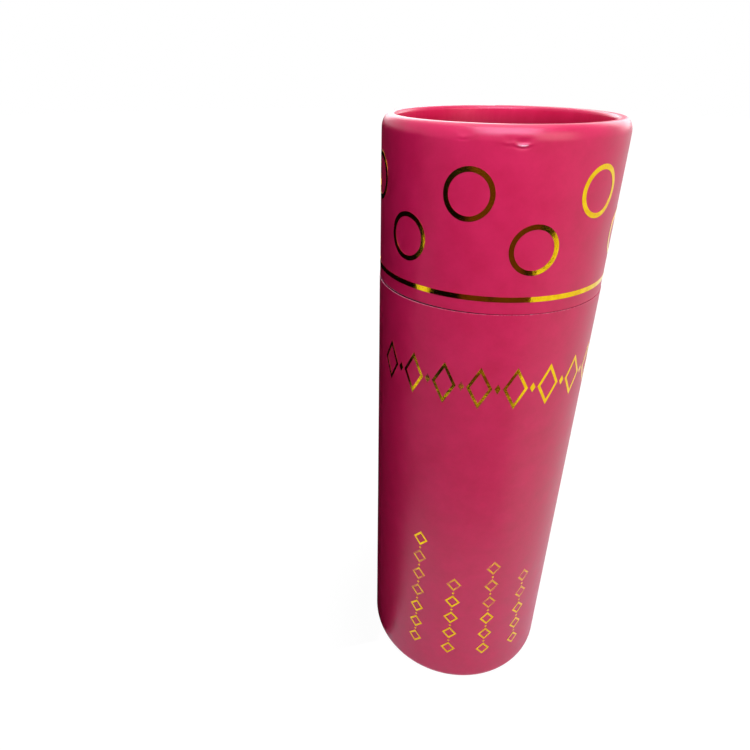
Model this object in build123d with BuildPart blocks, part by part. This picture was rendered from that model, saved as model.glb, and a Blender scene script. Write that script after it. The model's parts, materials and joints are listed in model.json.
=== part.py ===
from build123d import *
import os
from math import cos, radians, sin

# Gift tube of wound board with rolled ends: a lid that lifts off a neck, and a body.
# Millimetres, +Z up, origin on the axis in the plane that the tube stands on.
# The front, with the middle of the foil ornament, faces -Y.

# Overall sizes
tube_radius = 35.0
overall_height = 208.9
lid_length = 47.4
seam_gap = 0.3
lid_step = 0.15

# Papers and boards
wrap_thickness = 0.2
liner_thickness = 0.15
paste_film = 0.02
lid_wall = 1.65
inner_tube_wall = 1.5
disc_thickness = 2.0
disc_play = 0.05

# The rolled rim at the top of the lid, as it shows with its paper
rim_width = 4.1
rim_recess = 8.0
rim_outer_round_share = 0.61
rim_inner_round_share = 0.3

# The rolled foot at the bottom of the body, as it shows with its paper
foot_width = 6.5
foot_recess = 8.0
foot_outer_round_share = 0.76
foot_inner_round_share = 0.1
foot_leg_share = 0.34
flange_lift = 1.6

# Inside a roll, the board's leg stands off its own wall
roll_gap = 0.4
roll_gap_round_share = 0.4

# The neck that the lid slides over
neck_clearance = 0.3
neck_headroom = 1.5
neck_edge_round = 0.5

# Foil on the lid: two rows of rings and a band
foil_thickness = 0.1
ring_radius = 6.75
ring_stroke = 1.35
rings_per_row = 6
upper_row_share = 0.342
lower_row_share = 0.627
upper_row_angle = -172.5
band_width = 1.5
band_rise = 4.2

# Foil on the body: a row of lozenges with small ones between, and four standing chains
ornament_angle = -91.0
lozenge_count = 8
lozenge_pitch_angle = 17.5
lozenge_height = 14.0
lozenge_stroke = 0.9
lozenge_width_share = 0.71
small_lozenge_share = 0.17
lozenge_row_share = 0.856
chain_pitch_angle = 22.4
chain_foot_height = 20.0
chain_link_pitch = 8.8
chain_link_width = 5.6
chain_link_stroke = 0.6
chain_link_share = 0.75
chain_bead_share = 0.13
chain_link_counts = (7, 5, 6, 5)

# Worked out: heights
body_height = overall_height - lid_length - seam_gap
lid_low = overall_height - lid_length
rim_leg_end = overall_height - rim_recess
lid_disc_top = rim_leg_end - wrap_thickness
lid_disc_low = lid_disc_top - disc_thickness
lid_liner_low = lid_disc_low - liner_thickness
neck_top = lid_liner_low - neck_headroom
base_disc_low = foot_recess + wrap_thickness
base_disc_top = base_disc_low + disc_thickness
base_liner_top = base_disc_top + liner_thickness

# Worked out: the lid's radii, from its printed face inwards
coat = wrap_thickness + paste_film
lid_radius = tube_radius - lid_step
lid_board_radius = lid_radius - coat
lid_bore_radius = lid_board_radius - lid_wall
lid_lining_radius = lid_bore_radius - paste_film
lid_lining_bore = lid_lining_radius - liner_thickness
rim_radius = lid_radius - rim_width
rim_leg_outer = lid_bore_radius - roll_gap
rim_outer_round = rim_width * rim_outer_round_share
rim_inner_round = rim_width * rim_inner_round_share

# Worked out: the neck and the body's radii
neck_radius = lid_lining_bore - neck_clearance
inner_tube_radius = neck_radius - liner_thickness - paste_film
inner_tube_bore = inner_tube_radius - inner_tube_wall
tube_lining_radius = inner_tube_bore - paste_film
tube_lining_bore = tube_lining_radius - liner_thickness
body_board_radius = tube_radius - coat
body_bore_radius = neck_radius + paste_film
foot_radius = tube_radius - foot_width
foot_leg_inner = foot_radius + coat
foot_leg_outer = foot_leg_inner + foot_width * foot_leg_share
foot_outer_round = foot_width * foot_outer_round_share
foot_inner_round = foot_width * foot_inner_round_share
standing_outer = tube_radius - foot_outer_round
standing_inner = foot_radius + foot_inner_round

# Worked out: the foil ornament
lozenge_pitch = tube_radius * radians(lozenge_pitch_angle)
lozenge_width = lozenge_pitch * lozenge_width_share
small_lozenge_width = lozenge_pitch * small_lozenge_share
small_lozenge_height = small_lozenge_width * lozenge_height / lozenge_width
lozenge_row_height = body_height * lozenge_row_share
chain_link_height = chain_link_pitch * chain_link_share
chain_bead_height = chain_link_pitch * chain_bead_share
chain_bead_width = chain_bead_height * chain_link_width / chain_link_height


def rolled_line(wall_radius, leg_radius, crown, wall_end, leg_end, wall_round, leg_round):
    """Draw the line that runs along the wall, over the roll's crown and back along its leg."""
    way = 1 if crown > wall_end else -1
    wall = Line((wall_radius, wall_end), (wall_radius, crown - way * wall_round))
    shoulder = TangentArc(wall @ 1, (wall_radius - wall_round, crown), tangent=wall % 1)
    flat = Line(shoulder @ 1, (leg_radius + leg_round, crown))
    turn = TangentArc(flat @ 1, (leg_radius, crown - way * leg_round), tangent=flat % 1)
    leg = Line(turn @ 1, (leg_radius, leg_end))
    return wall @ 0, leg @ 1


def roll_gap_line(wall_radius, leg_radius, crown, wall_end, leg_end):
    """Draw the narrow gap that is left between a rolled board's wall and its leg."""
    gap_round = (wall_radius - leg_radius) * roll_gap_round_share
    return rolled_line(wall_radius, leg_radius, crown, wall_end, leg_end, gap_round, gap_round)


def outward(angle, height):
    """The plane at the tube's axis that looks out at an angle, with its own Y up."""
    out = (cos(radians(angle)), sin(radians(angle)), 0)
    along = (-sin(radians(angle)), cos(radians(angle)), 0)
    return Plane(origin=(0, 0, height), x_dir=along, z_dir=out)


def lozenge(width, height):
    """Draw a lozenge that stands on its point."""
    return Polygon((width / 2, 0), (0, height / 2), (-width / 2, 0), (0, -height / 2))


os.makedirs("parts", exist_ok=True)

# Lid: the wound board tube, its top edge rolled inwards
with BuildPart() as lid_tube:
    with BuildSketch(Plane.XZ):
        with BuildLine():
            face_low, face_leg = rolled_line(
                lid_board_radius, rim_radius + coat, overall_height - coat,
                lid_low, rim_leg_end, rim_outer_round - coat, rim_inner_round - coat)
            bore_low, bore_leg = roll_gap_line(
                lid_bore_radius, rim_leg_outer, overall_height - coat - lid_wall,
                lid_low, rim_leg_end)
            Line(face_low, bore_low)
            Line(face_leg, bore_leg)
        make_face()
    revolve(axis=Axis.Z)
lid_tube.part.label = "lid_tube"
export_step(lid_tube.part, "parts/lid_tube.step")

# Lid: the printed paper, pasted round the tube, over the roll and down its leg
with BuildPart() as lid_wrap:
    with BuildSketch(Plane.XZ):
        with BuildLine():
            face_low, face_leg = rolled_line(
                lid_radius, rim_radius, overall_height,
                lid_low, rim_leg_end, rim_outer_round, rim_inner_round)
            back_low, back_leg = rolled_line(
                lid_radius - wrap_thickness, rim_radius + wrap_thickness,
                overall_height - wrap_thickness, lid_low, rim_leg_end,
                rim_outer_round - wrap_thickness, rim_inner_round - wrap_thickness)
            Line(face_low, back_low)
            Line(face_leg, back_leg)
        make_face()
    revolve(axis=Axis.Z)
lid_wrap.part.label = "lid_wrap"
export_step(lid_wrap.part, "parts/lid_wrap.step")

# Lid: the board disc that closes it, held under the end of the rolled leg
with BuildPart() as lid_disc:
    with BuildSketch(Plane.XY.offset(lid_disc_low)):
        Circle(lid_bore_radius - disc_play)
    extrude(amount=disc_thickness)
lid_disc.part.label = "lid_disc"
export_step(lid_disc.part, "parts/lid_disc.step")

# Lid: the printed paper on top of the disc
with BuildPart() as lid_disc_paper:
    with BuildSketch(Plane.XY.offset(lid_disc_top)):
        Circle(lid_bore_radius - disc_play)
    extrude(amount=wrap_thickness)
lid_disc_paper.part.label = "lid_disc_paper"
export_step(lid_disc_paper.part, "parts/lid_disc_paper.step")

# Lid: the plain paper under the disc, seen from inside
with BuildPart() as lid_disc_liner:
    with BuildSketch(Plane.XY.offset(lid_liner_low)):
        Circle(lid_bore_radius - disc_play)
    extrude(amount=liner_thickness)
lid_disc_liner.part.label = "lid_disc_liner"
export_step(lid_disc_liner.part, "parts/lid_disc_liner.step")

# Lid: the plain paper that lines its bore and slides on the neck
with BuildPart() as lid_lining:
    with BuildSketch(Plane.XY.offset(lid_low)):
        Circle(lid_lining_radius)
        Circle(lid_lining_bore, mode=Mode.SUBTRACT)
    extrude(amount=lid_liner_low - lid_low)
lid_lining.part.label = "lid_lining"
export_step(lid_lining.part, "parts/lid_lining.step")

# Lid: the foil band above its lower edge
lid_foil_bore = lid_radius + paste_film
with BuildPart() as foil_band:
    with BuildSketch(Plane.XY.offset(lid_low + band_rise - band_width / 2)):
        Circle(lid_foil_bore + foil_thickness)
        Circle(lid_foil_bore, mode=Mode.SUBTRACT)
    extrude(amount=band_width)
foil_band.part.label = "foil_band"
export_step(foil_band.part, "parts/foil_band.step")

# Lid: the foil rings, two rows, the lower one half a step further round
ring_step = 360 / rings_per_row
ring_rows = (
    ("upper", overall_height - lid_length * upper_row_share, upper_row_angle),
    ("lower", overall_height - lid_length * lower_row_share, upper_row_angle + ring_step / 2),
)
for row_name, row_height, first_angle in ring_rows:
    for index in range(rings_per_row):
        with BuildPart() as foil_ring:
            with BuildSketch(outward(first_angle + index * ring_step, row_height)):
                Circle(ring_radius)
                Circle(ring_radius - ring_stroke, mode=Mode.SUBTRACT)
            extrude(amount=tube_radius + foil_thickness)
            with BuildSketch(Plane.XY.offset(row_height - ring_radius - ring_stroke)):
                Circle(lid_foil_bore + foil_thickness)
                Circle(lid_foil_bore, mode=Mode.SUBTRACT)
            extrude(amount=2 * (ring_radius + ring_stroke), mode=Mode.INTERSECT)
        foil_ring.part.label = f"foil_ring_{row_name}_{index + 1}"
        export_step(foil_ring.part, f"parts/foil_ring_{row_name}_{index + 1}.step")

# Body: the wound board tube, its bottom edge rolled inwards round a standing ring
with BuildPart() as body_tube:
    with BuildSketch(Plane.XZ):
        with BuildLine():
            face_top, face_leg = rolled_line(
                body_board_radius, foot_leg_inner, coat,
                body_height, foot_recess, foot_outer_round - coat, foot_inner_round - coat)
            bore_top, bore_leg = roll_gap_line(
                body_bore_radius, foot_leg_outer, coat + body_board_radius - body_bore_radius,
                body_height, foot_recess)
            Line(face_top, bore_top)
            Line(face_leg, bore_leg)
        make_face()
        with Locations(((standing_outer - paste_film + standing_inner) / 2, coat)):
            Rectangle(standing_outer - paste_film - standing_inner, 2 * coat)
    revolve(axis=Axis.Z)
body_tube.part.label = "body_tube"
export_step(body_tube.part, "parts/body_tube.step")

# Body: the printed paper, pasted round the tube and under its rounding to the standing ring
with BuildPart() as body_wrap:
    with BuildSketch(Plane.XZ):
        with BuildLine():
            face = Line((tube_radius, body_height), (tube_radius, foot_outer_round))
            face_turn = TangentArc(face @ 1, (standing_outer, 0), tangent=face % 1)
            cut = Line(face_turn @ 1, (standing_outer, wrap_thickness))
            back_radius = tube_radius - wrap_thickness
            back = Line((back_radius, body_height), (back_radius, foot_outer_round))
            back_turn = TangentArc(back @ 1, cut @ 1, tangent=back % 1)
            Line(face @ 0, back @ 0)
        make_face()
    revolve(axis=Axis.Z)
body_wrap.part.label = "body_wrap"
export_step(body_wrap.part, "parts/body_wrap.step")

# Body: the inner tube, from the base up through the shoulder, where it is the neck
with BuildPart() as inner_tube:
    with BuildSketch(Plane.XY.offset(base_disc_top)):
        Circle(inner_tube_radius)
        Circle(inner_tube_bore, mode=Mode.SUBTRACT)
    extrude(amount=neck_top - base_disc_top)
    top_edges = inner_tube.edges().group_by(Axis.Z)[-1]
    fillet(top_edges.sort_by(SortBy.RADIUS)[-1], radius=neck_edge_round)
inner_tube.part.label = "inner_tube"
export_step(inner_tube.part, "parts/inner_tube.step")

# Body: the plain paper round the inner tube, which shows on the neck
with BuildPart() as neck_paper:
    with BuildSketch(Plane.XY.offset(base_disc_top)):
        Circle(neck_radius)
        Circle(inner_tube_radius + paste_film, mode=Mode.SUBTRACT)
    extrude(amount=neck_top - neck_edge_round - base_disc_top)
neck_paper.part.label = "neck_paper"
export_step(neck_paper.part, "parts/neck_paper.step")

# Body: the board disc that closes its bottom, on the end of the rolled leg
with BuildPart() as base_disc:
    with BuildSketch(Plane.XY.offset(base_disc_low)):
        Circle(body_bore_radius - disc_play)
    extrude(amount=disc_thickness)
base_disc.part.label = "base_disc"
export_step(base_disc.part, "parts/base_disc.step")

# Body: the printed paper under the base, turned down over the roll's leg
with BuildPart() as base_paper:
    with BuildSketch(Plane.XY.offset(foot_recess)):
        Circle(body_bore_radius - disc_play)
    extrude(amount=wrap_thickness)
    with BuildSketch(Plane.XY.offset(foot_inner_round + flange_lift)):
        Circle(foot_radius + wrap_thickness)
        Circle(foot_radius, mode=Mode.SUBTRACT)
    extrude(amount=foot_recess - foot_inner_round - flange_lift)
base_paper.part.label = "base_paper"
export_step(base_paper.part, "parts/base_paper.step")

# Body: the plain paper on the floor inside
with BuildPart() as base_liner:
    with BuildSketch(Plane.XY.offset(base_disc_top)):
        Circle(tube_lining_radius)
    extrude(amount=liner_thickness)
base_liner.part.label = "base_liner"
export_step(base_liner.part, "parts/base_liner.step")

# Body: the plain paper that lines the inner tube, up to the neck's edge
with BuildPart() as tube_lining:
    with BuildSketch(Plane.XY.offset(base_liner_top)):
        Circle(tube_lining_radius)
        Circle(tube_lining_bore, mode=Mode.SUBTRACT)
    extrude(amount=neck_top - base_liner_top)
tube_lining.part.label = "tube_lining"
export_step(tube_lining.part, "parts/tube_lining.step")

# Body: the row of foil lozenges across the front
body_foil_bore = tube_radius + paste_film
row_half_steps = (lozenge_count - 1) / 2
for index in range(lozenge_count):
    place_angle = ornament_angle + (index - row_half_steps) * lozenge_pitch_angle
    with BuildPart() as foil_lozenge:
        with BuildSketch(outward(place_angle, lozenge_row_height)):
            lozenge(lozenge_width, lozenge_height)
            offset(amount=-lozenge_stroke, kind=Kind.INTERSECTION, mode=Mode.SUBTRACT)
        extrude(amount=tube_radius * 2)
        with BuildSketch(Plane.XY.offset(lozenge_row_height - lozenge_height)):
            Circle(body_foil_bore + foil_thickness)
            Circle(body_foil_bore, mode=Mode.SUBTRACT)
        extrude(amount=2 * lozenge_height, mode=Mode.INTERSECT)
    foil_lozenge.part.label = f"foil_lozenge_{index + 1}"
    export_step(foil_lozenge.part, f"parts/foil_lozenge_{index + 1}.step")

# Body: the small foil lozenges between the large ones
with BuildPart() as foil_small_lozenges:
    for index in range(lozenge_count - 1):
        place_angle = ornament_angle + (index + 1 / 2 - row_half_steps) * lozenge_pitch_angle
        with BuildSketch(outward(place_angle, lozenge_row_height)):
            lozenge(small_lozenge_width, small_lozenge_height)
        extrude(amount=tube_radius * 2)
    with BuildSketch(Plane.XY.offset(lozenge_row_height - lozenge_height)):
        Circle(body_foil_bore + foil_thickness)
        Circle(body_foil_bore, mode=Mode.SUBTRACT)
    extrude(amount=2 * lozenge_height, mode=Mode.INTERSECT)
foil_small_lozenges.part.label = "foil_small_lozenges"
export_step(foil_small_lozenges.part, "parts/foil_small_lozenges.step")

# Body: the standing foil chains of lozenge links and small beads, low on the front
chain_half_steps = (len(chain_link_counts) - 1) / 2
from_the_foot = (Align.CENTER, Align.MIN)
for index, link_count in enumerate(chain_link_counts):
    place_angle = ornament_angle + (index - chain_half_steps) * chain_pitch_angle
    with BuildPart() as foil_chain:
        with BuildSketch(outward(place_angle, chain_foot_height)):
            with GridLocations(chain_link_pitch, chain_link_pitch, 1, link_count, align=from_the_foot):
                lozenge(chain_link_width, chain_link_height)
            offset(amount=-chain_link_stroke, kind=Kind.INTERSECTION, mode=Mode.SUBTRACT)
        with BuildSketch(outward(place_angle, chain_foot_height + chain_link_pitch / 2)):
            with GridLocations(chain_link_pitch, chain_link_pitch, 1, link_count - 1, align=from_the_foot):
                lozenge(chain_bead_width, chain_bead_height)
        extrude(amount=tube_radius * 2)
        with BuildSketch():
            Circle(body_foil_bore + foil_thickness)
            Circle(body_foil_bore, mode=Mode.SUBTRACT)
        extrude(amount=body_height, mode=Mode.INTERSECT)
    foil_chain.part.label = f"foil_chain_{index + 1}"
    export_step(foil_chain.part, f"parts/foil_chain_{index + 1}.step")
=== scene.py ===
import json
from math import atan2, cos, hypot, pi, radians, sin, sqrt

import bmesh
import bpy
from mathutils import Matrix, Vector, noise

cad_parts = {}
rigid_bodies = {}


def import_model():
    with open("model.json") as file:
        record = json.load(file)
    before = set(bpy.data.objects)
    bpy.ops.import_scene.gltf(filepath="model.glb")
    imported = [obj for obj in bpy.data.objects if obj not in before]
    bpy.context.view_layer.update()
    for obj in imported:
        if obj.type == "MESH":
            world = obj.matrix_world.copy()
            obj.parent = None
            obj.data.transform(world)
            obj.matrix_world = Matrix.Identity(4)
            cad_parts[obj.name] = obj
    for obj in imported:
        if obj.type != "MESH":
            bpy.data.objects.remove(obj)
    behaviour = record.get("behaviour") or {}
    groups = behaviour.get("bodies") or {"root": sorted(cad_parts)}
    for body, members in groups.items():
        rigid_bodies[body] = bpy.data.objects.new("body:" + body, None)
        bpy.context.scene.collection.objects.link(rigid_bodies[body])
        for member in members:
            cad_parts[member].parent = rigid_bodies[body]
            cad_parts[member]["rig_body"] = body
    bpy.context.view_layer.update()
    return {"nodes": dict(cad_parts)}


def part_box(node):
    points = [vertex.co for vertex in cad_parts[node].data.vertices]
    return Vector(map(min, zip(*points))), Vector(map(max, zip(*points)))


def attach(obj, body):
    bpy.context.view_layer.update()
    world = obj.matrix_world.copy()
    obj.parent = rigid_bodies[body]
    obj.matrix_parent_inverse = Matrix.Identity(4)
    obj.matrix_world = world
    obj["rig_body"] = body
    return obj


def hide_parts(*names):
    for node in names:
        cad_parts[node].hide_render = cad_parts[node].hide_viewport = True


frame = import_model()
mm = 0.001

# Inner tube. A spiral-wound tube of grey board, glued into the body from its base up.
# Its top stands out of the body as the neck, with the outer edge eased for the lid.
tube_low, tube_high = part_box("inner_tube")
inner_tube_radius = tube_high.x
inner_tube_wall = 1.5 * mm
neck_edge_round = 0.5 * mm
bore_edge_round = 0.2 * mm


def even_spacing(place):
    """How long a step of an outline may be at a place before it is cut."""
    return 4 * mm


def verts_in(made):
    """The vertices in what a bmesh operator made."""
    return [part for part in made["geom"] if isinstance(part, bmesh.types.BMVert)]


def turned(outline, open_end=False, steps=192, spacing=even_spacing):
    """Turn an outline of (radius, height, rounding) points about the axis into a mesh."""
    bm = bmesh.new()
    corners = [bm.verts.new((radius, 0, height)) for radius, height, rounding in outline]
    bm.faces.new(corners)
    if open_end:
        last_edge = bm.edges.get((corners[-1], corners[0]))
        ends = last_edge.verts[:]
    for corner, (radius, height, rounding) in zip(corners, outline):
        if rounding:
            bmesh.ops.bevel(bm, geom=[corner], offset=rounding, offset_type="OFFSET", segments=12,
                            profile=0.5, affect="VERTICES", material=-1)
    bmesh.ops.delete(bm, geom=bm.faces[:], context="FACES_ONLY")
    if open_end:
        bmesh.ops.delete(bm, geom=[bm.edges.get(ends)], context="EDGES")
    for edge in bm.edges[:]:
        middle = (edge.verts[0].co + edge.verts[1].co) / 2
        cuts = int(edge.calc_length() / spacing(middle))
        if cuts and min(edge.verts[0].co.x, edge.verts[1].co.x) > 0:
            bmesh.ops.subdivide_edges(bm, edges=[edge], cuts=cuts)
    doublings = 4
    wedge = 2 * pi / 2 ** doublings
    bmesh.ops.spin(bm, geom=bm.verts[:] + bm.edges[:], cent=(0, 0, 0), axis=(0, 0, 1),
                   angle=wedge, steps=steps // 2 ** doublings)
    for doubling in range(doublings):
        copied = bmesh.ops.duplicate(bm, geom=bm.verts[:] + bm.edges[:] + bm.faces[:])
        bmesh.ops.rotate(bm, verts=verts_in(copied), cent=(0, 0, 0),
                         matrix=Matrix.Rotation(wedge * 2 ** doubling, 3, "Z"))
    weld = 0.001 * mm
    bmesh.ops.remove_doubles(bm, verts=bm.verts[:], dist=weld)
    bmesh.ops.dissolve_degenerate(bm, edges=bm.edges[:], dist=weld)
    bmesh.ops.recalc_face_normals(bm, faces=bm.faces[:])
    return bm


def finished(name, bm, sharp_degrees=40):
    """Put a bmesh in the scene as a piece, smooth but for its sharp edges."""
    mesh = bpy.data.meshes.new(name)
    bm.to_mesh(mesh)
    bm.free()
    mesh.shade_smooth()
    mesh.set_sharp_from_angle(angle=radians(sharp_degrees))
    piece = bpy.data.objects.new(name, mesh)
    bpy.context.scene.collection.objects.link(piece)
    return piece


def linear(hex_colour):
    """An sRGB hex colour as a linear RGBA value."""
    channels = [int(hex_colour[i:i + 2], 16) / 255 for i in (1, 3, 5)]
    return [c / 12.92 if c <= 0.04045 else ((c + 0.055) / 1.055) ** 2.4 for c in channels] + [1]


def add(material, kind, settings=None, **links):
    """Add a node, set its sockets or properties, and link sockets to other nodes' outputs."""
    node = material.node_tree.nodes.new(kind)
    for key, value in (settings or {}).items():
        if isinstance(key, int) or key in node.inputs:
            node.inputs[key].default_value = value
        else:
            setattr(node, key, value)
    for key, output in links.items():
        socket = node.inputs[int(key[1:])] if key[1:].isdigit() else node.inputs[key.replace("_", " ")]
        material.node_tree.links.new(output, socket)
    return node


def new_material(name):
    """An empty node material with only its output, and that output."""
    material = bpy.data.materials.new(name)
    material.use_nodes = True
    material.node_tree.nodes.clear()
    return material, material.node_tree.nodes.new("ShaderNodeOutputMaterial")


# Grey board: recycled pulp, unbleached and uncoated. Dull and warm grey, flecked with darker
# fibres, and its cut edges show the thin plies that it is wound from as fine rings.
grey_board, board_output = new_material("grey_board")
place = add(grey_board, "ShaderNodeTexCoord").outputs["Object"]
fleck_size = 0.5 * mm
ply = 0.4 * mm
flecks = add(grey_board, "ShaderNodeTexNoise", {"Scale": 1 / fleck_size, "Detail": 6}, Vector=place)
plies = add(grey_board, "ShaderNodeTexWave", {
    "wave_type": "RINGS", "rings_direction": "Z", "Scale": pi / (10 * ply), "Distortion": 1.5,
    "Detail": 2, "Detail Scale": 0.5}, Vector=place)
pulp = add(grey_board, "ShaderNodeMix", {"data_type": "FLOAT", "Factor": 0.3},
           _2=flecks.outputs["Fac"], _3=plies.outputs["Fac"])
board_tone = add(grey_board, "ShaderNodeValToRGB", Fac=pulp.outputs["Result"])
board_tone.color_ramp.elements[0].position = 0.25
board_tone.color_ramp.elements[0].color = linear("#544D44")
board_tone.color_ramp.elements[1].position = 0.7
board_tone.color_ramp.elements[1].color = linear("#776E62")
# Where the shoulder's top edge shows in the seam, the board is painted a dark red shade.
seam_shade = add(grey_board, "ShaderNodeAttribute", {"attribute_name": "seam_shade"})
shaded_tone = add(grey_board, "ShaderNodeMix", {"data_type": "RGBA", 7: linear("#2A0A14")},
                  Factor=seam_shade.outputs["Fac"], _6=board_tone.outputs["Color"])
board_grain = add(grey_board, "ShaderNodeBump", {"Strength": 0.5, "Distance": 0.1 * mm},
                  Height=pulp.outputs["Result"])
board_shader = add(grey_board, "ShaderNodeBsdfPrincipled", {"Roughness": 0.9, "Specular IOR Level": 0.2},
                   Base_Color=shaded_tone.outputs["Result"], Normal=board_grain.outputs["Normal"])
grey_board.node_tree.links.new(board_shader.outputs["BSDF"], board_output.inputs["Surface"])


def dress(piece, node, material):
    """Give a piece its material, and let it stand for its node on the node's own body."""
    piece.data.materials.append(material)
    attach(piece, frame["nodes"][node]["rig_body"])
    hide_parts(node)


inner_tube = finished("neck_board", turned([
    (inner_tube_radius, tube_low.z, 0),
    (inner_tube_radius, tube_high.z, neck_edge_round),
    (inner_tube_radius - inner_tube_wall, tube_high.z, bore_edge_round),
    (inner_tube_radius - inner_tube_wall, tube_low.z, 0),
]))
dress(inner_tube, "inner_tube", grey_board)

# White papers of the body. Uncoated paper, pasted on the inner tube outside and inside
# before it is cut, and a disc of it on the floor of the tube.
# Uncoated paper: bleached fibres pressed flat. Matt and a little warm, with a soft cloudy
# formation about 2 mm across and a fine tooth, drawn coarser than it is so that it shows.
white_paper, white_output = new_material("white_uncoated_paper")
place = add(white_paper, "ShaderNodeTexCoord").outputs["Object"]
cloud_size = 2 * mm
tooth_size = 0.25 * mm
clouds = add(white_paper, "ShaderNodeTexNoise", {"Scale": 1 / cloud_size, "Detail": 5}, Vector=place)
tooth = add(white_paper, "ShaderNodeTexNoise", {"Scale": 1 / tooth_size, "Detail": 3}, Vector=place)
white_tone = add(white_paper, "ShaderNodeValToRGB", Fac=clouds.outputs["Fac"])
white_tone.color_ramp.elements[0].position = 0.3
white_tone.color_ramp.elements[0].color = linear("#E2DED6")
white_tone.color_ramp.elements[1].position = 0.7
white_tone.color_ramp.elements[1].color = linear("#EAE7E0")
white_grain = add(white_paper, "ShaderNodeBump", {"Strength": 0.35, "Distance": 0.05 * mm},
                  Height=tooth.outputs["Fac"])
white_shader = add(white_paper, "ShaderNodeBsdfPrincipled", {"Roughness": 0.85, "Specular IOR Level": 0.3},
                   Base_Color=white_tone.outputs["Color"], Normal=white_grain.outputs["Normal"])
white_paper.node_tree.links.new(white_shader.outputs["BSDF"], white_output.inputs["Surface"])
white_thickness = 0.15 * mm


def white_sleeve(name, node):
    """A plain tube of white paper that takes the place and size of its node."""
    low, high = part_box(node)
    sleeve = finished(name, turned([
        (high.x, low.z, 0), (high.x, high.z, 0),
        (high.x - white_thickness, high.z, 0), (high.x - white_thickness, low.z, 0)]))
    dress(sleeve, node, white_paper)


def disc(name, node, material):
    """A flat disc that takes the place and size of its node."""
    low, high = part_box(node)
    piece = finished(name, turned([(0, low.z, 0), (high.x, low.z, 0), (high.x, high.z, 0), (0, high.z, 0)]))
    dress(piece, node, material)


white_sleeve("neck_cover_paper", "neck_paper")
white_sleeve("tube_lining_paper", "tube_lining")
disc("floor_paper", "base_liner", white_paper)

# Base disc. Die-cut grey board that closes the bottom, pressed down and glued on the rolled
# leg of the body tube. It is flat, with a plain cut edge.
disc("base_board", "base_disc", grey_board)

# Body tube. Spiral-wound grey board, its bottom edge softened and rolled inwards by a heated
# die, with a flat ring left for it to stand on. Its cut top edge is the shoulder, toned dark
# red for the shade in the narrow seam under the lid.
body_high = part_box("body_tube")[1]
body_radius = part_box("body_wrap")[1].x
body_height = body_high.z
neck_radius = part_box("neck_paper")[1].x
wrap_thickness = 0.2 * mm
paste = 0.02 * mm
coat = wrap_thickness + paste
foot_width = 6.5 * mm
foot_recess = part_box("base_disc")[0].z - wrap_thickness
foot_outer_round = 0.76 * foot_width
foot_inner_round = 0.1 * foot_width
foot_radius = body_radius - foot_width
foot_leg = 0.34 * foot_width
foot_floor = coat + body_high.x - neck_radius
foot_fold_round = 0.6 * mm
board_edge_round = 0.1 * mm
body_board_bm = turned([
    (body_high.x, body_height, board_edge_round),
    (neck_radius + paste, body_height, board_edge_round),
    (neck_radius + paste, foot_floor, foot_fold_round),
    (foot_radius + coat + foot_leg, foot_floor, foot_fold_round),
    (foot_radius + coat + foot_leg, foot_recess, board_edge_round),
    (foot_radius + coat, foot_recess, board_edge_round),
    (foot_radius + coat, coat, foot_inner_round - coat),
    (body_high.x, coat, foot_outer_round - coat),
])
seam_shade_share = 0.85
seam_shade_reach = 0.2 * mm
seam_shade_at = body_board_bm.verts.layers.float.new("seam_shade")
for vert in body_board_bm.verts:
    vert[seam_shade_at] = seam_shade_share if vert.co.z > body_height - seam_shade_reach else 0
dress(finished("body_board", body_board_bm), "body_tube", grey_board)

# Printed wrap of the body. Coated paper, printed pink, laminated with a soft-touch film, and
# pasted round the tube with a lap at the back. It was rolled in at the foot with the board,
# and its cut top edge is a pale line along the seam: its white core, and a painted highlight.
# Printed paper under a soft-touch film: the ink gives a deep, even pink, and the film a
# satin haze that pales where it is seen edge-on. Cut and rubbed edges show white fibre, and
# the same pale is a painted highlight on the lips of the dents and the seam's top edge. The
# die burnished the rolled rim smoother. Down the lid's recess the tone is a deeper red, a
# painted shade there. The film's grain is drawn coarser than it is, so that it shows.
printed_pink, printed_output = new_material("soft_touch_pink_paper")
place = add(printed_pink, "ShaderNodeTexCoord").outputs["Object"]
mottle_size = 7 * mm
fibre_size = 0.6 * mm
film_grain_size = 0.3 * mm
mottle = add(printed_pink, "ShaderNodeTexNoise", {"Scale": 1 / mottle_size, "Detail": 6, "Roughness": 0.65},
             Vector=place)
pink_tone = add(printed_pink, "ShaderNodeValToRGB", Fac=mottle.outputs["Fac"])
pink_tone.color_ramp.elements[0].position = 0.3
pink_tone.color_ramp.elements[0].color = linear("#BC1045")
pink_tone.color_ramp.elements[1].position = 0.7
pink_tone.color_ramp.elements[1].color = linear("#CA1850")
recess_shade = add(printed_pink, "ShaderNodeAttribute", {"attribute_name": "recess_shade"})
deep_tone = add(printed_pink, "ShaderNodeMix", {"data_type": "RGBA", 7: linear("#7E0826")},
                Factor=recess_shade.outputs["Fac"], _6=pink_tone.outputs["Color"])
fibre = add(printed_pink, "ShaderNodeTexNoise", {"Scale": 1 / fibre_size, "Detail": 4}, Vector=place)
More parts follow.
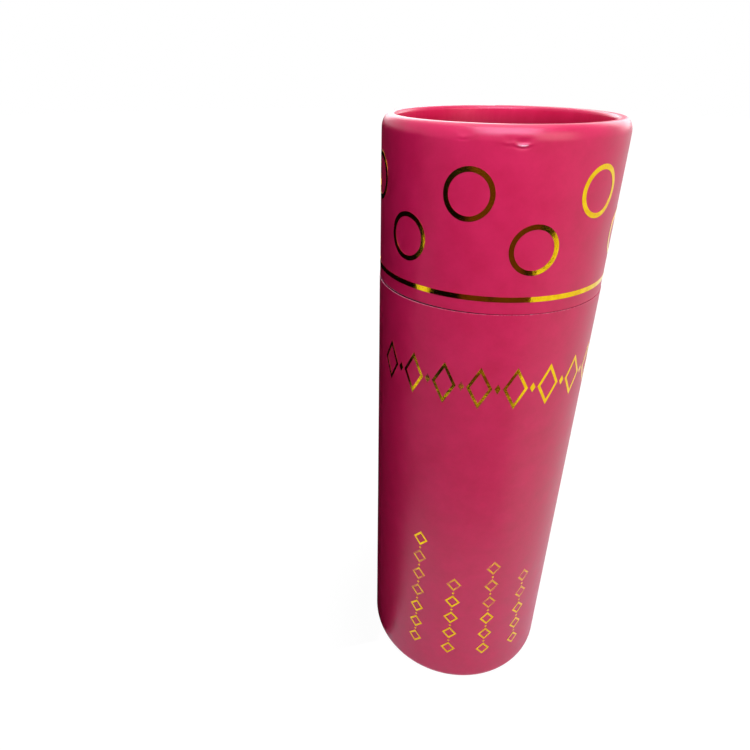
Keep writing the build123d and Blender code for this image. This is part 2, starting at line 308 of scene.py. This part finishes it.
# One pale for worn white fibre and for the painted highlight on the dents' lips and the seam edge.
wear_and_highlight = add(printed_pink, "ShaderNodeAttribute", {"attribute_name": "wear_and_highlight"})
worn_and_highlit = add(printed_pink, "ShaderNodeMath", {"operation": "MULTIPLY_ADD", 1: 0.5}, _0=fibre.outputs["Fac"],
           _2=wear_and_highlight.outputs["Fac"])
pale_share = add(printed_pink, "ShaderNodeMapRange", {"From Min": 0.6, "From Max": 0.95},
                 Value=worn_and_highlit.outputs[0])
pink_or_white = add(printed_pink, "ShaderNodeMix", {"data_type": "RGBA", 7: linear("#F4C8D0")},
                    Factor=pale_share.outputs["Result"], _6=deep_tone.outputs["Result"])
film_grain = add(printed_pink, "ShaderNodeTexNoise", {"Scale": 1 / film_grain_size, "Detail": 4},
                 Vector=place)
film_bump = add(printed_pink, "ShaderNodeBump", {"Strength": 0.3, "Distance": 0.03 * mm},
                Height=film_grain.outputs["Fac"])
film_haze = add(printed_pink, "ShaderNodeMapRange", {"To Min": 0.29, "To Max": 0.47},
                Value=mottle.outputs["Fac"])
burnish = add(printed_pink, "ShaderNodeAttribute", {"attribute_name": "burnish"})
burnished_haze = add(printed_pink, "ShaderNodeMath", {"operation": "MULTIPLY_ADD", 1: -0.07},
                     _0=burnish.outputs["Fac"], _2=film_haze.outputs["Result"])
pink_shader = add(printed_pink, "ShaderNodeBsdfPrincipled", {"Specular IOR Level": 0.46},
                  Base_Color=pink_or_white.outputs["Result"], Roughness=burnished_haze.outputs[0],
                  Normal=film_bump.outputs["Normal"])
printed_pink.node_tree.links.new(pink_shader.outputs["BSDF"], printed_output.inputs["Surface"])

# The lap, where the sheet's end lies on its start: a step of about half the paper's
# thickness, once the roller has pressed it, that dies away over the next 15 mm.
lap_angle = radians(84)
lap_step = 0.1 * mm
lap_fade = 15 * mm
lap_wear = 0.45
lap_wear_reach = 0.5 * mm
unevenness = 0.02 * mm
unevenness_size = 14 * mm


def turn_at(place):
    """The angle of a place round the axis."""
    return atan2(place.y, place.x)


def radius_at(place):
    """The distance of a place from the axis."""
    return hypot(place.x, place.y)


def facing(place, degrees, narrowness):
    """How far a place faces a side of the tube: 1 right there, 0 from a quarter turn away."""
    return max(0, cos(turn_at(place) - radians(degrees))) ** narrowness


def lap_drop(place):
    """How far the sheet lies below its full radius near the lap, and how near the step is."""
    beyond = (turn_at(place) - lap_angle) % (2 * pi) * body_radius
    drop = max(0, 1 - beyond / lap_fade) ** 2 * lap_step
    return drop, max(0, 1 - beyond / lap_wear_reach)


def sheet_depth(place):
    """How far a place on a wrap lies in from a true cylinder, for the lap and for small upright waves."""
    wave = noise.noise(Vector((place.x, place.y, place.z * 0.5)) / unevenness_size)
    return lap_drop(place)[0] + unevenness * (0.5 + 0.5 * wave)


# Cut edges show pale: worn white fibre, and along the seam also a painted highlight, most on the left.
least_edge_paleness = 0.42
paler_on_left = 0.3


def edge_paleness(place, distance, reach):
    """How pale a sheet is at a distance from its cut edge: fully to 2/3 of the reach, most on the left.
    It is worn white fibre, and along the seam also a painted highlight.
    """
    return (least_edge_paleness + paler_on_left * facing(place, -165, 8)) * min(1, 3 - 3 * distance / reach)


def pasted_sheet(name, bm, cut_edges, rubs_and_highlights=lambda place: 0):
    """Lay an open sheet over its tube, mark its pale cut edges, and give it the paper's thickness."""
    pale_at = bm.verts.layers.float.new("wear_and_highlight")
    for vert in bm.verts:
        at_edge = max(edge_paleness(vert.co, hypot(radius_at(vert.co) - radius, vert.co.z - height), reach)
                      for radius, height, reach in cut_edges)
        vert[pale_at] = max(at_edge, lap_wear * lap_drop(vert.co)[1], rubs_and_highlights(vert.co), 0)
    moves = [(vert, vert.normal * -sheet_depth(vert.co)) for vert in bm.verts]
    for vert, move in moves:
        vert.co += move
    bmesh.ops.solidify(bm, geom=bm.faces[:], thickness=wrap_thickness)
    bmesh.ops.recalc_face_normals(bm, faces=bm.faces[:])
    return finished(name, bm)


cut_edge_wear = 0.1 * mm
top_edge_pale_band = 0.15 * mm
top_edge_rise = 0.16 * mm
top_edge_fall = 0.2 * mm
wrap_turn_in = 2 * mm
body_wrap = pasted_sheet("body_printed_wrap", turned([
    (body_radius, body_height, 0),
    (body_radius, body_height - 2 / 3 * top_edge_pale_band, 0),
    (body_radius, body_height - top_edge_pale_band, 0),
    (body_radius, 0, foot_outer_round),
    (foot_radius, 0, foot_inner_round),
    (foot_radius, wrap_turn_in, 0),
], open_end=True, steps=512), [
    (body_radius, body_height, top_edge_pale_band), (foot_radius, wrap_turn_in, cut_edge_wear)])
dress(body_wrap, "body_wrap", printed_pink)

# The wrap was not cut quite square to the tube: its top edge ends just under the board's on
# the left and stands a little proud of it elsewhere, so the seam is widest on the left. Only
# the sheet's outer side is pale there: worn white, and a painted highlight.
pale_marks = body_wrap.data.attributes["wear_and_highlight"].data
top_edge_foot = body_height - 1.1 * top_edge_pale_band
for vert in body_wrap.data.vertices:
    if vert.co.z > top_edge_foot:
        if radius_at(vert.co) < body_radius - wrap_thickness / 2:
            pale_marks[vert.index].value = 0
        vert.co.z += top_edge_rise - (top_edge_rise + top_edge_fall) * facing(vert.co, -155, 3)

# Base paper. The same printed paper, a disc of it pasted under the base board with its edge
# turned down over the rolled leg, where it gathers in small pleats.
flange_low = foot_inner_round + 1.6 * mm
turn_down_round = 0.2 * mm
pleat_size = 1.7 * mm
pleat_height = 0.13 * mm
pleat_length = 25 * mm
pleat_fade = 3 * mm


def outwards(place):
    """The direction straight out from the axis at a place."""
    return Vector((place.x, place.y, 0)).normalized()


def clamped(value, most=1):
    """A value kept from 0 to a most."""
    return min(most, max(0, value))


def pleat(place, gathered):
    """How far a turned-in sheet stands off its tube; gathered is 0 where it lies flat and 1 at most."""
    around = outwards(place) * body_radius / pleat_size
    ridge = 1 - 3 * abs(noise.noise(around + Vector((0, 0, place.z / pleat_length))))
    return pleat_height * gathered * max(0, ridge)


base_sheet = turned([
    (0, foot_recess, 0),
    (foot_radius + wrap_thickness, foot_recess, turn_down_round + wrap_thickness),
    (foot_radius + wrap_thickness, flange_low, 0),
    (foot_radius, flange_low, 0),
    (foot_radius, foot_recess - wrap_thickness, turn_down_round),
    (0, foot_recess - wrap_thickness, 0),
], steps=512)
for vert in base_sheet.verts:
    turned_down = clamped((foot_recess - wrap_thickness - vert.co.z) / pleat_fade)
    vert.co -= outwards(vert.co) * pleat(vert.co, turned_down)
dress(finished("base_printed_paper", base_sheet), "base_paper", printed_pink)

# Lid tube. The same wound board, cut shorter, its top edge softened and rolled inwards by the
# die, down on to the disc. The roll comes out taller on its outside than it is wide.
lid_low, lid_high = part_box("lid_wrap")
lid_board_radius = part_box("lid_tube")[1].x
lid_radius = lid_high.x
lid_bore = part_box("lid_lining")[1].x
rim_width = 4.1 * mm
rim_radius = lid_radius - rim_width
rim_top = lid_high.z
rim_leg_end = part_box("lid_disc_paper")[1].z
rim_outer_round = 0.61 * rim_width
rim_inner_round = 0.3 * rim_width
roll_gap = 0.4 * mm
roll_edge_round = 0.15 * mm
lid_board_inner_top = rim_top - coat - (lid_board_radius - lid_bore)
rim_roll_height = 3.8 * mm
rim_ease = 0.12 * mm
rim_ease_reach = 7 * mm


def ease_rim(bm, top, roll):
    """Make the rim's outer rounding taller than it is wide, and lean the wall below it in a little."""
    for vert in bm.verts:
        drop = top - vert.co.z
        if radius_at(vert.co) > lid_radius - rim_outer_round and drop < rim_ease_reach:
            if drop < roll:
                drop *= rim_roll_height / roll
            else:
                left_over = (drop - roll) / (rim_ease_reach - roll)
                drop = rim_roll_height + left_over * (rim_ease_reach - rim_roll_height)
            out = outwards(vert.co)
            facing_out = max(0, vert.normal.dot(out))
            vert.co -= out * facing_out * rim_ease * (1 - drop / rim_ease_reach) ** 2
            vert.co.z = top - drop
    bm.normal_update()


rim_step = 0.25 * mm
wall_step = 2.5 * mm


def rim_spacing(place):
    """Short steps near the rim, where the tube leans in and has its dents, and longer ones elsewhere."""
    near_rim = place.x > lid_board_radius - paste and place.z > rim_top - rim_ease_reach
    return rim_step if near_rim else wall_step


lid_board_bm = turned([
    (lid_board_radius, lid_low.z, board_edge_round),
    (lid_board_radius, rim_top - rim_ease_reach, 0),
    (lid_board_radius, rim_top - coat, rim_outer_round - coat),
    (rim_radius + coat, rim_top - coat, rim_inner_round - coat),
    (rim_radius + coat, rim_leg_end, board_edge_round),
    (lid_bore - roll_gap, rim_leg_end, board_edge_round),
    (lid_bore - roll_gap, lid_board_inner_top, roll_edge_round),
    (lid_bore, lid_board_inner_top, roll_edge_round),
    (lid_bore, lid_low.z, board_edge_round),
], spacing=rim_spacing)
ease_rim(lid_board_bm, rim_top - coat, rim_outer_round - coat)

# The roller left a small crescent dent with a raised lip under the rim, in board and paper,
# and two faint ones beside it: each with its angle, its drop below the rim, how far it
# reaches to each side, and its strength.
rim_dents = [(radians(-93.0), 4.5 * mm, 3.0 * mm, 1.0), (radians(-98.4), 4.1 * mm, 2.0 * mm, 0.4),
             (radians(-116.5), 3.0 * mm, 2.4 * mm, 0.4)]
dent_sag = 0.8 * mm
hollow_height = 1.6 * mm
hollow_depth = 0.14 * mm
dent_height = 1.0 * mm
dent_depth = 0.18 * mm
lip_height = 0.4 * mm
lip_foot = 1.6 * lip_height
lip_rise = 0.26 * mm
crease_height = 0.25 * mm
crease_depth = 0.12 * mm


def bump_profile(above, height):
    """A smooth bump, 1 at its middle and near 0 at one height from it."""
    return 2.7 ** -(1.6 * above / height) ** 2


def dents_near(place):
    """How strong each dent is at a place, and how far above its lip's crest the place is."""
    for angle, drop, reach, strength in rim_dents:
        aside = (turn_at(place) - angle) * lid_radius / reach
        yield strength * max(0, 1 - aside ** 2) ** 2, place.z - (rim_top - drop) - dent_sag * aside ** 2


def dented(place):
    """How far the lid's sheet stands out at a place, over its lips, or in, in its dents."""
    return sum(strength * (lip_rise * bump_profile(above, lip_foot)
                           - hollow_depth * bump_profile(above, hollow_height)
                           - dent_depth * bump_profile(above - dent_height, dent_height)
                           - crease_depth * bump_profile(above + lip_height + crease_height, crease_height))
               for strength, above in dents_near(place))


for vert, out in [(vert, vert.normal.copy()) for vert in lid_board_bm.verts]:
    if radius_at(vert.co) > rim_radius + rim_width / 2:
        vert.co += out * min(0, dented(vert.co))
dress(finished("lid_board", lid_board_bm), "lid_tube", grey_board)

# Lid disc and its papers. Die-cut grey board under the rolled leg, printed paper on its top
# and white paper on its underside; the lid's bore is lined with white paper too.
disc("lid_disc_board", "lid_disc", grey_board)
disc("lid_disc_printed_paper", "lid_disc_paper", printed_pink)
disc("lid_disc_white_paper", "lid_disc_liner", white_paper)
white_sleeve("lid_lining_paper", "lid_lining")

# Printed wrap of the lid. One strip of the printed paper, pasted round, then rolled in with
# the board over the rim and down to the disc, where the turned-in paper gathers in pleats.
worn_edge_top = lid_low.z + 1.2 * cut_edge_wear
burnish_end = 1.6 * rim_roll_height
recess_shade_start = 1.2 * mm
recess_shade_fade = 5 * mm
recess_shade_most = 0.8
lid_gathering = 0.4
gather_inwards = 2 * mm
gather_downwards = 4 * mm
lid_sheet = turned([
    (lid_radius, lid_low.z, 0),
    (lid_radius, worn_edge_top, 0),
    (lid_radius, rim_top - rim_ease_reach, 0),
    (lid_radius, rim_top, rim_outer_round),
    (rim_radius, rim_top, rim_inner_round),
    (rim_radius, rim_leg_end, 0),
], open_end=True, steps=512, spacing=rim_spacing)
ease_rim(lid_sheet, rim_top, rim_outer_round)
burnish_at = lid_sheet.verts.layers.float.new("burnish")
recess_shade_at = lid_sheet.verts.layers.float.new("recess_shade")
for vert in lid_sheet.verts:
    drop = rim_top - vert.co.z
    vert[burnish_at] = clamped((burnish_end - drop) / rim_roll_height)
    if radius_at(vert.co) < rim_radius + rim_inner_round / 2:
        vert[recess_shade_at] = clamped((drop - recess_shade_start) / recess_shade_fade, recess_shade_most)
for vert, out in [(vert, vert.normal.copy()) for vert in lid_sheet.verts]:
    turned_in = rim_radius + rim_width / 2 - radius_at(vert.co)
    gathered = lid_gathering * clamped(turned_in / gather_inwards)
    gathered *= clamped((rim_top - vert.co.z) / gather_downwards)
    dent = dented(vert.co) if turned_in < 0 else 0
    vert.co += out * (dent + pleat(vert.co, gathered))


speck_wear = 0.42
speck_reach_outwards = 1.2 * mm
speck_reach_down = 4 * mm
# The lips of the dents are painted pale, as a highlight.
lip_highlight = 0.72


def lid_rubs_and_highlights(place):
    """How pale the lid's sheet is: rubbed in specks on the turned-in paper, and a painted highlight on the
    lips of the dents.
    """
    inside = max(0, 1 - abs(radius_at(place) - rim_radius) / speck_reach_outwards)
    near_top = max(0, 1 - (rim_top - place.z) / speck_reach_down)
    specks = speck_wear * inside * (0.6 + 0.4 * facing(place, 88, 3)) * near_top
    lips = sum(strength * bump_profile(above, lip_height) for strength, above in dents_near(place))
    return max(specks, lip_highlight * lips if inside == 0 else 0)


lid_wrap = pasted_sheet("lid_printed_wrap", lid_sheet, [
    (lid_radius, lid_low.z, cut_edge_wear), (rim_radius, rim_leg_end, cut_edge_wear)], rubs_and_highlights=lid_rubs_and_highlights)
dress(lid_wrap, "lid_wrap", printed_pink)

# Gold foil. A metallised film, stamped hot through a die: a mirror layer a few thousandths
# of a millimetre thick, which follows every small unevenness of the paper under it.
# Hot-stamped foil: clear yellow lacquer over aluminium. It mirrors the room, yellow where the
# room is bright and almost black where it is dark, and its ripples break those edges up.
gold_foil, foil_output = new_material("hot_stamped_gold_foil")
place = add(gold_foil, "ShaderNodeTexCoord").outputs["Object"]
ripple_size = 2.5 * mm
ripple = add(gold_foil, "ShaderNodeTexNoise", {"Scale": 1 / ripple_size, "Detail": 5, "Roughness": 0.6},
             Vector=place)
foil_bump = add(gold_foil, "ShaderNodeBump", {"Strength": 0.6, "Distance": 0.1 * mm},
                Height=ripple.outputs["Fac"])
lacquer = add(gold_foil, "ShaderNodeValToRGB", Fac=ripple.outputs["Fac"])
lacquer.color_ramp.elements[0].position = 0.35
lacquer.color_ramp.elements[0].color = linear("#E3B414")
lacquer.color_ramp.elements[1].position = 0.65
lacquer.color_ramp.elements[1].color = linear("#EFCB22")
foil_shader = add(gold_foil, "ShaderNodeBsdfPrincipled", {"Metallic": 1.0, "Roughness": 0.12},
                  Base_Color=lacquer.outputs["Color"], Normal=foil_bump.outputs["Normal"])
gold_foil.node_tree.links.new(foil_shader.outputs["BSDF"], foil_output.inputs["Surface"])
foil_thickness = 0.05 * mm


def stamp(bm, name, node, radius):
    """Wrap a flat bmesh, x round the tube and y up it, onto a printed sheet as the foil of a node."""
    for vert in bm.verts:
        turn = vert.co.x / radius
        on_sheet = Vector((radius * cos(turn), radius * sin(turn), vert.co.y))
        depth = sheet_depth(on_sheet)
        vert.co = Vector(((radius - depth) * cos(turn), (radius - depth) * sin(turn), vert.co.y))
    bmesh.ops.recalc_face_normals(bm, faces=bm.faces[:])
    middle = bm.faces[0].calc_center_median()
    if bm.faces[0].normal.dot(Vector((middle.x, middle.y, 0))) < 0:
        bmesh.ops.reverse_faces(bm, faces=bm.faces[:])
    bmesh.ops.solidify(bm, geom=bm.faces[:], thickness=-foil_thickness)
    bmesh.ops.recalc_face_normals(bm, faces=bm.faces[:])
    dress(finished(name, bm), node, gold_foil)


# Foil band. A strip stamped right round the lid above its lower edge. It lies on the wrap and
# follows its waves and its lap.
band_low, band_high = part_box("foil_band")
band_ring = turned([(lid_radius, band_low.z, 0), (lid_radius + foil_thickness, band_low.z, 0),
                    (lid_radius + foil_thickness, band_high.z, 0), (lid_radius, band_high.z, 0)], steps=512)
for vert in band_ring.verts:
    vert.co -= outwards(vert.co) * sheet_depth(vert.co)
dress(finished("gold_band", band_ring), "foil_band", gold_foil)


def flat_outline(bm, sides, place, outer, inner):
    """Add a flat outline of quads between two like shapes, each given by its half width and half height."""
    loops = []
    for share in (0, 1 / 3, 2 / 3, 1):
        half = [a + (b - a) * share for a, b in zip(outer, inner)]
        at = Matrix.Translation((*place, 0)) @ Matrix.Diagonal((*half, 1, 1))
        made = bmesh.ops.create_circle(bm, segments=sides, radius=1, matrix=at)
        loops.append({edge for vert in made["verts"] for edge in vert.link_edges})
    added = []
    for wide, narrow in zip(loops, loops[1:]):
        added += bmesh.ops.bridge_loops(bm, edges=list(wide | narrow))["faces"]
    return added


# Foil rings. Two staggered rows of six round the lid, each a plain circle with an even stroke,
# bent with the wrap.
ring_stroke = 1.35 * mm
ring_sides = 96
rings_per_row = 6
ring_step = 2 * pi / rings_per_row
first_ring = radians(-172.5)
for row, row_turn in (("upper", first_ring), ("lower", first_ring + ring_step / 2)):
    for index in range(rings_per_row):
        node = f"foil_ring_{row}_{index + 1}"
        low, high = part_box(node)
        outer = (high.z - low.z) / 2
        inner = outer - ring_stroke
        ring = bmesh.new()
        flat_outline(ring, ring_sides, (lid_radius * (row_turn + index * ring_step), (low.z + high.z) / 2),
                     (outer, outer), (inner, inner))
        stamp(ring, f"gold_ring_{row}_{index + 1}", node, lid_radius)


least_hole_share = 0.02
short_edge = 0.4 * mm


def flat_lozenge(bm, place, width, height, stroke):
    """Add a flat lozenge on its point, as an outline of a stroke's width, cut finely enough to bend."""
    inner_share = 1 - 2 * stroke * sqrt(width ** 2 + height ** 2) / (width * height)
    halves = (width / 2, height / 2)
    sides = 4
    inner_halves = [half * max(inner_share, least_hole_share) for half in halves]
    added = flat_outline(bm, sides, place, halves, inner_halves)
    edges = {edge for face in added for edge in face.edges if edge.calc_length() > short_edge}
    bmesh.ops.subdivide_edges(bm, edges=list(edges), cuts=5, use_grid_fill=True)


# Foil row on the body. Eight open lozenges on their points across the front, with a small full
# one between each two, all at one level.
ornament_turn = radians(-91)
lozenge_count = 8
lozenge_step = radians(17.5)
lozenge_stroke = 0.9 * mm
lozenge_low, lozenge_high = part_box("foil_lozenge_4")
lozenge_height = lozenge_high.z - lozenge_low.z
lozenge_level = (lozenge_low.z + lozenge_high.z) / 2
lozenge_width = 0.71 * body_radius * lozenge_step
for index in range(lozenge_count):
    along = body_radius * (ornament_turn + (index - (lozenge_count - 1) / 2) * lozenge_step)
    lozenge = bmesh.new()
    flat_lozenge(lozenge, (along, lozenge_level), lozenge_width, lozenge_height, lozenge_stroke)
    stamp(lozenge, f"gold_lozenge_{index + 1}", f"foil_lozenge_{index + 1}", body_radius)

small_width = 0.17 * body_radius * lozenge_step
small_height = small_width * lozenge_height / lozenge_width
small_lozenges = bmesh.new()
for index in range(lozenge_count - 1):
    along = body_radius * (ornament_turn + (index + 1 / 2 - (lozenge_count - 1) / 2) * lozenge_step)
    flat_lozenge(small_lozenges, (along, lozenge_level), small_width, small_height, small_width)
stamp(small_lozenges, "gold_small_lozenges", "foil_small_lozenges", body_radius)

# Foil chains. Four of them stand low on the body's front, at even distances, each of open links
# with a small bead between each two.
link_counts = (7, 5, 6, 5)
chain_step = radians(22.4)
link_pitch = 8.8 * mm
link_width = 5.6 * mm
link_height = 0.75 * link_pitch
link_stroke = 0.7 * mm
bead_height = 0.13 * link_pitch
bead_width = bead_height * link_width / link_height
for index, link_count in enumerate(link_counts):
    low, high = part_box(f"foil_chain_{index + 1}")
    along = body_radius * (ornament_turn + (index - (len(link_counts) - 1) / 2) * chain_step)
    chain = bmesh.new()
    for link in range(link_count):
        link_level = low.z + link_height / 2 + link * link_pitch
        flat_lozenge(chain, (along, link_level), link_width, link_height, link_stroke)
        if link < link_count - 1:
            flat_lozenge(chain, (along, link_level + link_pitch / 2), bead_width, bead_height, bead_width)
    stamp(chain, f"gold_chain_{index + 1}", f"foil_chain_{index + 1}", body_radius)

# Studio floor. A white table top, plain white wherever the camera or a reflection sees it,
# but for a trace of its own shading near the tube, which keeps its soft shadow.
table_radius = 3.0
floor_bm = bmesh.new()
bmesh.ops.create_circle(floor_bm, cap_ends=True, segments=64, radius=table_radius)
floor = finished("studio_floor", floor_bm)
floor_white, floor_output = new_material("matt_white_floor")
floor_shade = add(floor_white, "ShaderNodeBsdfDiffuse", {"Color": linear("#F4F4F4")})
floor_glow = add(floor_white, "ShaderNodeEmission", {"Color": linear("#FFFFFF"), "Strength": 1.05})
floor_path = add(floor_white, "ShaderNodeLightPath")
floor_place = add(floor_white, "ShaderNodeTexCoord").outputs["Object"]
from_tube = add(floor_white, "ShaderNodeVectorMath", {"operation": "LENGTH"}, Vector=floor_place)
shadow_from, shadow_to = 42 * mm, 90 * mm
mirrored_shadow_from, mirrored_shadow_to = 45 * mm, 130 * mm
seen_share = add(floor_white, "ShaderNodeMapRange", {
    "From Min": shadow_from, "From Max": shadow_to, "To Min": 0.93, "To Max": 1},
    Value=from_tube.outputs["Value"])
mirror_share = add(floor_white, "ShaderNodeMapRange", {
    "From Min": mirrored_shadow_from, "From Max": mirrored_shadow_to, "To Min": 0.28, "To Max": 1},
    Value=from_tube.outputs["Value"])
mirrored = add(floor_white, "ShaderNodeMath", {"operation": "MULTIPLY"},
               _0=floor_path.outputs["Is Glossy Ray"], _1=mirror_share.outputs["Result"])
seen = add(floor_white, "ShaderNodeMath", {"operation": "MAXIMUM"}, _0=floor_path.outputs["Is Camera Ray"],
           _1=floor_path.outputs["Is Transmission Ray"])
glow_share = add(floor_white, "ShaderNodeMath", {"operation": "MULTIPLY_ADD"}, _0=seen.outputs[0],
                 _1=seen_share.outputs["Result"], _2=mirrored.outputs[0])
floor_mix = add(floor_white, "ShaderNodeMixShader", None, _0=glow_share.outputs[0],
                _1=floor_shade.outputs["BSDF"], _2=floor_glow.outputs["Emission"])
floor_white.node_tree.links.new(floor_mix.outputs["Shader"], floor_output.inputs["Surface"])
floor.data.materials.append(floor_white)

# Dark screens. Matt black and brown cloth, in front of the table and close on the left, out of
# sight: the foil mirrors them, so it turns from bright to black and brown as the tube curves.
fold_size = 90 * mm


def dark_screen(name, bm, brown_from, shades=False):
    """Make a mesh a dark cloth that only reflections see, or that also keeps light off."""
    cloth, cloth_output = new_material(f"{name}_cloth")
    cloth_place = add(cloth, "ShaderNodeTexCoord").outputs["Object"]
    folds = add(cloth, "ShaderNodeTexNoise", {"Scale": 1 / fold_size, "Detail": 2}, Vector=cloth_place)
    cloth_tone = add(cloth, "ShaderNodeValToRGB", Fac=folds.outputs["Fac"])
    cloth_tone.color_ramp.interpolation = "CONSTANT"
    cloth_tone.color_ramp.elements[0].color = linear("#0A0503")
    cloth_tone.color_ramp.elements[1].position = brown_from
    cloth_tone.color_ramp.elements[1].color = linear("#643A1C")
    cloth_glow = add(cloth, "ShaderNodeEmission", Color=cloth_tone.outputs["Color"])
    cloth.node_tree.links.new(cloth_glow.outputs["Emission"], cloth_output.inputs["Surface"])
    screen = finished(name, bm)
    screen.data.materials.append(cloth)
    screen.visible_camera = False
    screen.visible_diffuse = shades
    screen.visible_shadow = shades


# The curved screens stand round the tube's axis. Each has the radius and height of its two
# edges in millimetres, its first and last angle in degrees, and the level of its fold
# pattern from which it is brown.
off_floor = 0.5
for name, near, low, far, high, first_degrees, last_degrees, brown_from in (
        ("black_front_screen", 250, off_floor, 250, 188, -156, -124, 0.75),
        ("brown_front_screen", 252, off_floor, 252, 188, -126, -59, 0.42),
        ("high_front_screen", 252, 112, 252, 188, -59, -45, 0.55),
        ("low_left_screen", 250, 18, 250, 70, -183, -156, 0.6),
        ("high_left_screen", 250, 132, 250, 188, -183, -156, 0.6),
        ("mid_left_screen", 250, 96, 250, 132, -183, -163, 0.6),
        ("floor_cloth", 120, off_floor, 222, off_floor, -178, -59, 0.6)):
    first, last = radians(first_degrees), radians(last_degrees)
    curved = bmesh.new()
    side = [curved.verts.new((radius * mm * cos(first), radius * mm * sin(first), height * mm))
            for radius, height in ((near, low), (far, high))]
    curved.edges.new(side)
    bmesh.ops.spin(curved, geom=curved.verts[:] + curved.edges[:], cent=(0, 0, 0), axis=(0, 0, 1),
                   angle=last - first, steps=24)
    dark_screen(name, curved, brown_from)

# The left screen lies on the floor from its hem to its fold and stands up from there.
hem = Vector((-34 * mm, -17 * mm, off_floor * mm))
fold = Vector((-76 * mm, -29 * mm, off_floor * mm))
left_height = Vector((0, 0, 211 * mm))
left_length = Vector((26 * mm, 289 * mm, 0))
left = bmesh.new()
corners = [left.verts.new(corner) for corner in (hem, fold, fold + left_height)]
edges = [left.edges.new(corners[:2]), left.edges.new(corners[1:])]
drawn = bmesh.ops.extrude_edge_only(left, edges=edges)
bmesh.ops.translate(left, verts=verts_in(drawn), vec=left_length)
dark_screen("left_screen", left, brown_from=0.7, shades=True)


# Lamps. Soft white panels that the camera doesn't see: a warm one on the right in front, a
# cool one over the rim's front, which draws its highlight, and others overhead and behind.
def lamp(name, place, size, power, colour="#FFFFFF", target=(0, 0, 0.11)):
    """A square area lamp at a place, turned to a target."""
    data = bpy.data.lights.new(name, "AREA")
    data.size = size
    data.energy = power
    data.color = linear(colour)[:3]
    piece = bpy.data.objects.new(name, data)
    bpy.context.scene.collection.objects.link(piece)
    piece.location = place
    piece.rotation_euler = (Vector(target) - Vector(place)).to_track_quat("-Z", "Y").to_euler()
    piece.visible_camera = False


lamp("key_lamp", (0.55, -0.75, 0.55), 0.6, 2.8, "#FFFAE6")
lamp("near_top_lamp", (-0.02, -0.21, 0.45), 0.26, 1.7, "#E4DCFF")
lamp("right_lamp", (0.6, 0.6, 0.5), 0.5, 2.2)
lamp("overhead_lamp", (-0.02, 0.05, 0.5), 0.3, 0.5)
lamp("back_lamp", (-0.1, 0.8, 0.6), 0.6, 4.2)

# Room. Plain white wherever the camera or a reflection sees it, and a faint even light from
# all round on the rest.
world = bpy.data.worlds.new("white_room")
bpy.context.scene.world = world
world.use_nodes = True
world.node_tree.nodes.clear()
room_output = world.node_tree.nodes.new("ShaderNodeOutputWorld")
room_path = add(world, "ShaderNodeLightPath")
camera_or_glossy = add(world, "ShaderNodeMath", {"operation": "MAXIMUM"},
                       _0=room_path.outputs["Is Camera Ray"], _1=room_path.outputs["Is Glossy Ray"])
room_seen = add(world, "ShaderNodeMath", {"operation": "MAXIMUM"}, _0=camera_or_glossy.outputs[0],
                _1=room_path.outputs["Is Transmission Ray"])
room_light = add(world, "ShaderNodeBackground", {"Color": linear("#FFFFFF"), "Strength": 0.05})
room_white = add(world, "ShaderNodeBackground", {"Color": linear("#FFFFFF"), "Strength": 1.0})
room_mix = add(world, "ShaderNodeMixShader", None, _0=room_seen.outputs[0],
               _1=room_light.outputs["Background"], _2=room_white.outputs["Background"])
world.node_tree.links.new(room_mix.outputs["Shader"], room_output.inputs["Surface"])

bpy.context.scene.view_settings.view_transform = "Standard"

# Camera. Close and wide, from a little above the rim, as the photograph was taken: it sees
# the tube narrow towards its foot.
photo_width = 750
focal_pixels = 569.76
sensor = 36.0
pitch = radians(29.0)
roll = radians(0.25)
camera_data = bpy.data.cameras.new("camera")
camera_data.sensor_width = sensor
camera_data.lens = sensor * focal_pixels / photo_width
camera_data.clip_start = 10 * mm
camera = bpy.data.objects.new("camera", camera_data)
bpy.context.scene.collection.objects.link(camera)
ahead = Vector((0, cos(pitch), -sin(pitch)))
level_up = Vector((0, sin(pitch), cos(pitch)))
level_right = Vector((1, 0, 0))
right = level_right * cos(roll) + level_up * sin(roll)
up = level_up * cos(roll) - level_right * sin(roll)
camera_turn = Matrix((right, up, -ahead)).transposed().to_4x4()
camera_place = Vector((-36.4, -178.3, 222.1)) * mm
camera.matrix_world = Matrix.Translation(camera_place) @ camera_turn
bpy.context.scene.camera = camera
